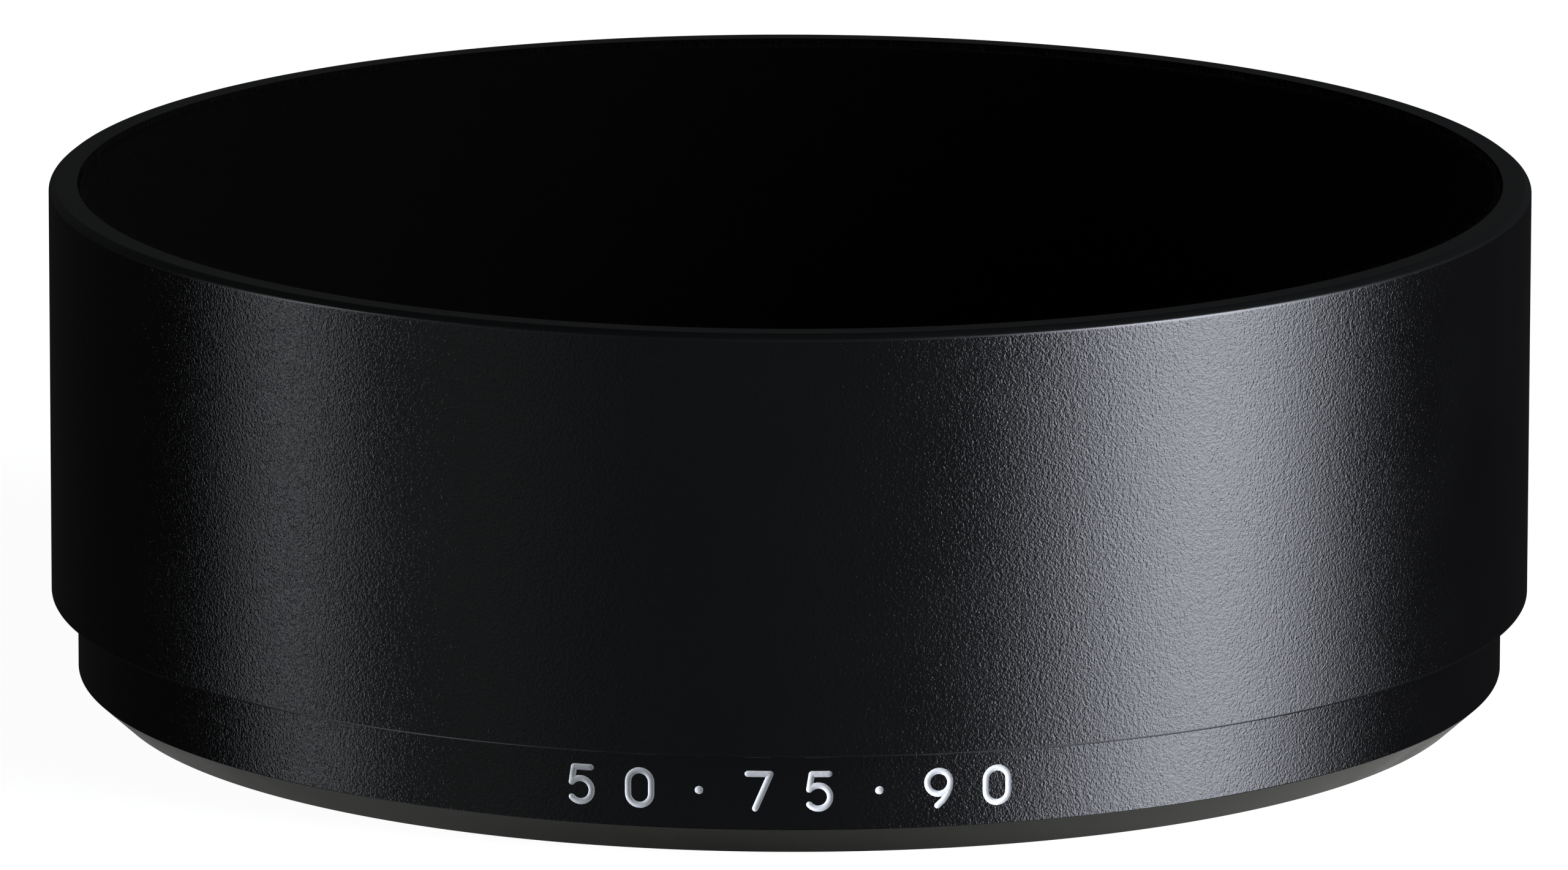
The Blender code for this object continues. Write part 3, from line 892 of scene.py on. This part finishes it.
def leaning(chance, direction):
    lean = Vector((chance.gauss(0, 1), chance.gauss(0, 1), chance.gauss(0, 1))) * FIBRE_LEAN
    return (direction + lean).normalized()


def random_inwards(chance):
    # From a random place round the wall towards the axis
    angle = chance.uniform(0, math.tau)
    return Vector((-math.cos(angle), -math.sin(angle), 0.0))


def fringe_fibres(chance):
    # Upright along the top of the sleeve, most of them near its outside
    outer = SLEEVE_OUTER - FIBRE_SUNK
    for _ in range(FRINGE_FIBRES):
        inwards = random_inwards(chance)
        radius = max(LINING_RADIUS + FIBRE_SUNK, outer - abs(chance.gauss(0, FRINGE_SPREAD)))
        root = UP * (SLEEVE_TOP - FIBRE_SUNK) - inwards * radius
        aim = leaning(chance, (UP + inwards * FRINGE_INWARDS).normalized())
        yield root, aim, chance.uniform(*FRINGE_LENGTHS)


def wall_fibres(chance):
    # Off the sleeve's wall, more of them towards its top
    for _ in range(WALL_FIBRES):
        inwards = random_inwards(chance)
        depth = chance.uniform(0.0, 1.0) ** WALL_CROWDING * (SLEEVE_TOP - SLEEVE_BOTTOM)
        root = UP * (SLEEVE_TOP - depth - FIBRE_SUNK) - inwards * (LINING_RADIUS + FIBRE_SUNK)
        yield root, leaning(chance, inwards), chance.uniform(*FIBRE_LENGTHS)


def floor_fibres(chance):
    for _ in range(FLOOR_FIBRES):
        inwards = random_inwards(chance)
        radius = chance.uniform(FUNNEL_TOP_RADIUS, LINING_RADIUS - FIBRE_SUNK)
        root = UP * (FLOOR_TOP - FIBRE_SUNK) - inwards * radius
        yield root, leaning(chance, UP), chance.uniform(*FIBRE_LENGTHS)


def make_fibres():
    chance = random.Random(RANDOM_SEED)
    fringe = list(fringe_fibres(chance))
    pile = [*wall_fibres(chance), *floor_fibres(chance)]
    for name, roots, material in (("flock_fringe_glint", fringe, GLINTING_FRINGE), ("flock_pile", pile, GLINTING_FIBRE)):
        fibres = shown(name, fibre_mesh(name, roots, material))
        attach(fibres, "hood")


# Leaf springs

STRIP_STEPS = 56
STRIP_EDGE = 0.05 * MM
STRIP_END_SHARE = 0.25


def spring_middle(along):
    lowest = SEAT_HEIGHT - SPRING_PROUD + SPRING_THICKNESS / 2
    if along <= SPRING_FLAT:
        return SPRING_HEIGHT
    if along <= SPRING_REACH:
        share = (along - SPRING_FLAT) / (SPRING_REACH - SPRING_FLAT)
        return SPRING_HEIGHT + (lowest - SPRING_HEIGHT) * math.sin(share * math.pi / 2)
    share = (along - SPRING_REACH) / SPRING_TIP
    return lowest + SPRING_TIP_LIFT * share**2


def strip_half_width(along):
    # Half-round ends, as a strip that is blanked in a press has
    half = SPRING_WIDTH / 2
    from_end = min(along + SPRING_TAIL, SPRING_REACH + SPRING_TIP - along)
    if from_end >= half:
        return half
    return max(half * STRIP_END_SHARE, math.sqrt(max(0.0, half**2 - (half - from_end) ** 2)))


def spring_strip():
    half = SPRING_THICKNESS / 2
    length = SPRING_TAIL + SPRING_REACH + SPRING_TIP
    shape = bmesh.new()
    loops = []
    for i in range(STRIP_STEPS + 1):
        along = -SPRING_TAIL + length * (1 - math.cos(math.pi * i / STRIP_STEPS)) / 2
        middle = spring_middle(along)
        wide = strip_half_width(along)
        angle = along / SPRING_RADIUS
        section = [
            (-wide + STRIP_EDGE, -half), (wide - STRIP_EDGE, -half),
            (wide, -half + STRIP_EDGE), (wide, half - STRIP_EDGE),
            (wide - STRIP_EDGE, half), (-wide + STRIP_EDGE, half),
            (-wide, half - STRIP_EDGE), (-wide, -half + STRIP_EDGE),
        ]
        loop = []
        for across, up in section:
            radius = SPRING_RADIUS + across
            point = (radius * math.cos(angle), radius * math.sin(angle), middle + up)
            loop.append(shape.verts.new(point))
        loops.append(loop)
    bridge(shape, loops)
    return mesh_from(shape, "spring_strip", [BRONZE])


def make_springs():
    eye = THREAD_DIAMETER + 2 * SIDE_GAP
    low, high = SPRING_HEIGHT - CUT_OVERSHOOT, SPRING_HEIGHT + CUT_OVERSHOOT
    hole = pin_mesh("spring_eye", eye, low, high, [BRONZE])
    strip = carved("spring_strip", spring_strip(), [(hole, [polar(0.0, SPRING_RADIUS, 0.0)])])
    for number, root in enumerate(spring_angles(), start=1):
        item = shown(f"spring_strip_{number}", strip, turn(root))
        finished(item, f"leaf_spring_{number}", f"spring_{number}")


# Screws and stop pin

def slotted(name, outline, span, material):
    blank = turned(name, outline, [material], SMALL_SEGMENTS, ring=False)
    floor = outline[-1][1]
    shape = bmesh.new()
    bmesh.ops.create_cube(shape, size=1.0)
    height = SLOT_DEPTH + CUT_OVERSHOOT
    size = Matrix.Diagonal((span, SLOT_WIDTH, height, 1.0))
    bmesh.ops.transform(shape, matrix=size, verts=shape.verts)
    drop = Vector((0.0, 0.0, floor + SLOT_DEPTH - height / 2))
    bmesh.ops.translate(shape, vec=drop, verts=shape.verts)
    bar = mesh_from(shape, "slot_bar", [material])
    return carved(name, blank, [(bar, [Matrix.Identity(4)])])


def set_screws(kind, mesh, places, chance):
    # The same screw at every place, each with its slot at a turn of its own
    for number, place in enumerate(places, start=1):
        spin = turn(chance.uniform(0, math.pi))
        item = shown(f"{kind}_turned_{number}", mesh, place @ spin)
        finished(item, f"{kind}_{number}")


def make_screws():
    chance = random.Random(RANDOM_SEED)
    ease = 0.08 * MM
    shank = THREAD_DIAMETER / 2
    head = RING_SCREW_HEAD / 2
    outer = ring_screw_low[2]
    outline = rounded(
        [
            (shank, ring_screw_high[2], 0.0),
            (shank, outer + RING_SCREW_HEAD_DEPTH, 0.0),
            (head, outer + ease, 0.0),
            (head, outer, ease / 2),
            (head - 2 * ease, outer, 0.0),
        ]
    )
    mesh = slotted("ring_screw_head", outline, 2 * RING_SCREW_HEAD, DARK_STEEL)
    places = [polar(angle, RING_SCREW_RADIUS, 0.0) for angle in ring_screw_angles()]
    set_screws("ring_screw", mesh, places, chance)

    head = SPRING_SCREW_HEAD / 2
    outer = spring_screw_low[2]
    outline = rounded(
        [
            (shank, spring_screw_high[2], 0.0),
            (shank, HEAD_INNER_FACE, 0.0),
            (head, HEAD_INNER_FACE, ease / 2),
            (head, outer, ease),
            (head - 2 * ease, outer, 0.0),
        ]
    )
    mesh = slotted("spring_screw_head", outline, 2 * SPRING_SCREW_HEAD, DARK_STEEL)
    places = [polar(root, SPRING_RADIUS, 0.0) for root in spring_angles()]
    set_screws("spring_screw", mesh, places, chance)

    for number in range(1, LOCK_SCREW_COUNT + 1):
        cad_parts[f"lock_screw_{number}"].material_slots[0].material = DARK_STEEL


def make_stop_pin():
    radius = STOP_PIN_DIAMETER / 2
    dome = 0.16 * MM
    outline = rounded(
        [
            (radius - 2 * dome, pin_high[2], 0.0),
            (radius, pin_high[2], dome),
            (radius, pin_low[2], 0.0),
        ]
    )
    mesh = turned("stop_pin_turned", outline, [BRIGHT_STEEL], SMALL_SEGMENTS, ring=False)
    item = shown("stop_pin_turned", mesh, stop_pin_place())
    finished(item, "stop_pin")


# Studio

WHITE = (1.0, 1.0, 1.0, 1.0)
FRONT_AMBIENT = (0.105, 0.11, 0.12, 1.0)
BACK_AMBIENT = (0.024, 0.025, 0.026, 1.0)
LOW_BACK_AMBIENT = (0.008, 0.008, 0.0085, 1.0)
FLOOR_SIZE = 6.0
FLOOR_DROP = 0.02 * MM
FLOOR_SHADE = (0.12, 0.12, 0.12, 1.0)
FLOOR_GLOW = 0.955
SHEET_RADIUS = COLLAR_RADIUS
SHEET_DROP = 0.01 * MM
SHEET_WHITE = (0.3, 0.3, 0.24, 1.0)
# Painted shade on the sheet: its share in reflections rises from the first value at its middle to the
# second towards its sides, between these distances from X = 0
SHEET_IN_REFLECTIONS_PAINTED_SHADE = (0.025, 0.2)
SHEET_PAINTED_SHADE_SPAN = (3.0 * MM, 16.0 * MM)
BACKDROP_IN_REFLECTIONS = 0.004
FRONT_TO_BACK = (-0.8, 0.1)
LOW_TO_HIGH = (-0.1, 0.1)
LAMP_DISTANCE = 0.9


def ground_share(tree, reflected):
    # 1 for the camera's rays; reflections see the white ground as dimly as the photograph's do
    path = add(tree, "ShaderNodeLightPath").outputs
    mirrored = computed(tree, "ADD", path["Is Glossy Ray"], path["Is Transmission Ray"])
    dimmed = computed(tree, "MULTIPLY", mirrored, reflected)
    return computed(tree, "ADD", path["Is Camera Ray"], dimmed, use_clamp=True)


def ground_material(name, card_colour):
    # White with a soft shadow to the camera, mostly a plain lit card to other rays with a painted shade
    # down its middle in reflections, clear from below
    material = bpy.data.materials.new(name)
    material.use_nodes = True
    tree = material.node_tree
    tree.nodes.remove(tree.nodes["Principled BSDF"])
    card = add(tree, "ShaderNodeBsdfDiffuse", {"Color": card_colour})
    shade = add(tree, "ShaderNodeBsdfDiffuse", {"Color": FLOOR_SHADE})
    glow = add(tree, "ShaderNodeEmission", {"Color": WHITE, "Strength": FLOOR_GLOW})
    pale = add(tree, "ShaderNodeAddShader", {0: shade.outputs[0], 1: glow.outputs[0]})
    # Painted shade: reflections see the ground dimmer along its middle, near X = 0, and brighter towards
    # both sides
    across = add(tree, "ShaderNodeSeparateXYZ", {0: object_coords(tree)}).outputs["X"]
    aside = computed(tree, "ABSOLUTE", across)
    reflected = mapped(tree, aside, *SHEET_PAINTED_SHADE_SPAN, *SHEET_IN_REFLECTIONS_PAINTED_SHADE)
    values = {0: ground_share(tree, reflected), 1: card.outputs[0], 2: pale.outputs[0]}
    mixed = add(tree, "ShaderNodeMixShader", values)
    underside = add(tree, "ShaderNodeNewGeometry").outputs["Backfacing"]
    clear = add(tree, "ShaderNodeBsdfTransparent")
    one_sided = add(tree, "ShaderNodeMixShader", {0: underside, 1: mixed.outputs[0], 2: clear.outputs[0]})
    tree.links.new(one_sided.outputs[0], tree.nodes["Material Output"].inputs["Surface"])
    return material


def make_floor():
    # A wide ground that only the camera sees, and a white sheet under the hood that it stands on
    half = FLOOR_SIZE / 2
    mesh = bpy.data.meshes.new("studio_floor")
    corners = [(-half, -half), (half, -half), (half, half), (-half, half)]
    mesh.from_pydata([(x, y, -FLOOR_DROP) for x, y in corners], [], [(0, 1, 2, 3)])
    mesh.materials.append(ground_material("studio_floor", FLOOR_SHADE))
    ground = shown("studio_floor", mesh)
    ground.visible_glossy = False
    ground.visible_diffuse = False
    ground.visible_shadow = False
    sheet_mesh = bpy.data.meshes.new("studio_sheet")
    turns = [math.tau * i / SEGMENTS for i in range(SEGMENTS)]
    edge = [(SHEET_RADIUS * math.cos(t), SHEET_RADIUS * math.sin(t), -SHEET_DROP) for t in turns]
    sheet_mesh.from_pydata(edge, [], [tuple(range(SEGMENTS))])
    sheet_mesh.materials.append(ground_material("studio_sheet", SHEET_WHITE))
    sheet = shown("studio_sheet", sheet_mesh)
    sheet.visible_shadow = False
    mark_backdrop(ground, sheet)


def make_world():
    world = bpy.data.worlds.new("studio")
    bpy.context.scene.world = world
    world.use_nodes = True
    tree = world.node_tree
    direction = add(tree, "ShaderNodeTexCoord").outputs["Generated"]
    axes = add(tree, "ShaderNodeSeparateXYZ", {0: direction}).outputs
    behind = mapped(tree, axes["Y"], *FRONT_TO_BACK)
    raised = mapped(tree, axes["Z"], *LOW_TO_HIGH)
    back = mixed_colour(tree, raised, LOW_BACK_AMBIENT, BACK_AMBIENT)
    room = mixed_colour(tree, behind, FRONT_AMBIENT, back)
    dim = tree.nodes["Background"]
    tree.links.new(room, dim.inputs["Color"])
    white = add(tree, "ShaderNodeBackground", {"Color": WHITE})
    values = {0: ground_share(tree, BACKDROP_IN_REFLECTIONS), 1: dim.outputs[0], 2: white.outputs[0]}
    mixed = add(tree, "ShaderNodeMixShader", values)
    tree.links.new(mixed.outputs[0], tree.nodes["World Output"].inputs["Surface"])


def softbox(name, azimuth, elevation, width, height, radiance, tint, distance=LAMP_DISTANCE):
    # Azimuth is from the camera's side towards +X; radiance is that of the lit sheet
    around = math.radians(azimuth)
    raised = math.radians(elevation)
    flat = distance * math.cos(raised)
    place = Vector((flat * math.sin(around), -flat * math.cos(around), distance * math.sin(raised)))
    lamp = bpy.data.lights.new(name, "AREA")
    lamp.shape = "RECTANGLE"
    lamp.size = width
    lamp.size_y = height
    lamp.energy = radiance * math.pi * width * height
    lamp.color = tint
    item = bpy.data.objects.new(name, lamp)
    bpy.context.scene.collection.objects.link(item)
    item.location = place
    aim = Vector((0.0, 0.0, RIM_HEIGHT / 2)) - place
    item.rotation_euler = aim.to_track_quat("-Z", "Y").to_euler()
    item.visible_camera = False
    return lamp


def feathered(lamp):
    # Brightest at the middle of the lamp's top edge, fading downwards and towards both sides
    lamp.use_nodes = True
    tree = lamp.node_tree
    place = add(tree, "ShaderNodeNewGeometry").outputs["Parametric"]
    axes = add(tree, "ShaderNodeSeparateXYZ", {0: place}).outputs
    aside = computed(tree, "ABSOLUTE", computed(tree, "SUBTRACT", axes["X"], 0.5))
    bell = mapped(tree, aside, 0.5, 0.0, interpolation_type="SMOOTHSTEP")
    strength = computed(tree, "MULTIPLY", bell, axes["Y"])
    tree.links.new(strength, tree.nodes["Emission"].inputs["Strength"])


def make_lights():
    right = softbox(
        "right_softbox",
        azimuth=65.2,
        elevation=0,
        width=1.12,
        height=1.51,
        radiance=25.0,
        tint=(0.86, 0.89, 1.0),
    )
    left = softbox(
        "left_softbox",
        azimuth=-82,
        elevation=0,
        width=0.32,
        height=1.51,
        radiance=6.3,
        tint=(0.88, 0.93, 1.0),
    )
    feathered(right)
    feathered(left)
    softbox(
        "left_card",
        azimuth=-50,
        elevation=10,
        width=0.5,
        height=1.1,
        radiance=0.12,
        tint=(0.93, 1.0, 0.96),
    )
    softbox(
        "right_low",
        azimuth=66,
        elevation=-50,
        width=0.6,
        height=0.5,
        radiance=3.0,
        tint=(0.9, 0.93, 1.0),
    )
    softbox(
        "left_low",
        azimuth=-79,
        elevation=-50,
        width=0.4,
        height=0.5,
        radiance=2.0,
        tint=(0.9, 0.94, 1.0),
    )
    softbox(
        "back_strip",
        azimuth=180,
        elevation=-34,
        width=0.05,
        height=0.24,
        radiance=9.0,
        tint=(0.92, 0.95, 1.0),
        distance=0.3,
    )


def make_camera():
    lens = bpy.data.cameras.new("photo_camera")
    lens.lens = CAMERA_LENS
    item = bpy.data.objects.new("photo_camera", lens)
    bpy.context.scene.collection.objects.link(item)
    back = Vector((0.0, -math.cos(CAMERA_ELEVATION), math.sin(CAMERA_ELEVATION)))
    up = Vector((0.0, math.sin(CAMERA_ELEVATION), math.cos(CAMERA_ELEVATION)))
    axes = Matrix((Vector((1.0, 0.0, 0.0)), up, back)).transposed().to_4x4()
    place = Matrix.Translation(CAMERA_TARGET + back * CAMERA_DISTANCE)
    item.matrix_world = place @ axes @ Matrix.Rotation(CAMERA_ROLL, 4, "Z")
    bpy.context.scene.camera = item


make_camera()
make_world()
make_floor()
make_lights()
make_barrel()
make_collar()
make_ring()
make_linings()
make_fibres()
make_springs()
make_screws()
make_stop_pin()

bpy.context.scene.view_settings.view_transform = "Standard"

visual_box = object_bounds()
boxes = {"cad": cad_box, "visual": visual_box}
{key: [list(corner) for corner in box] for key, box in boxes.items()}
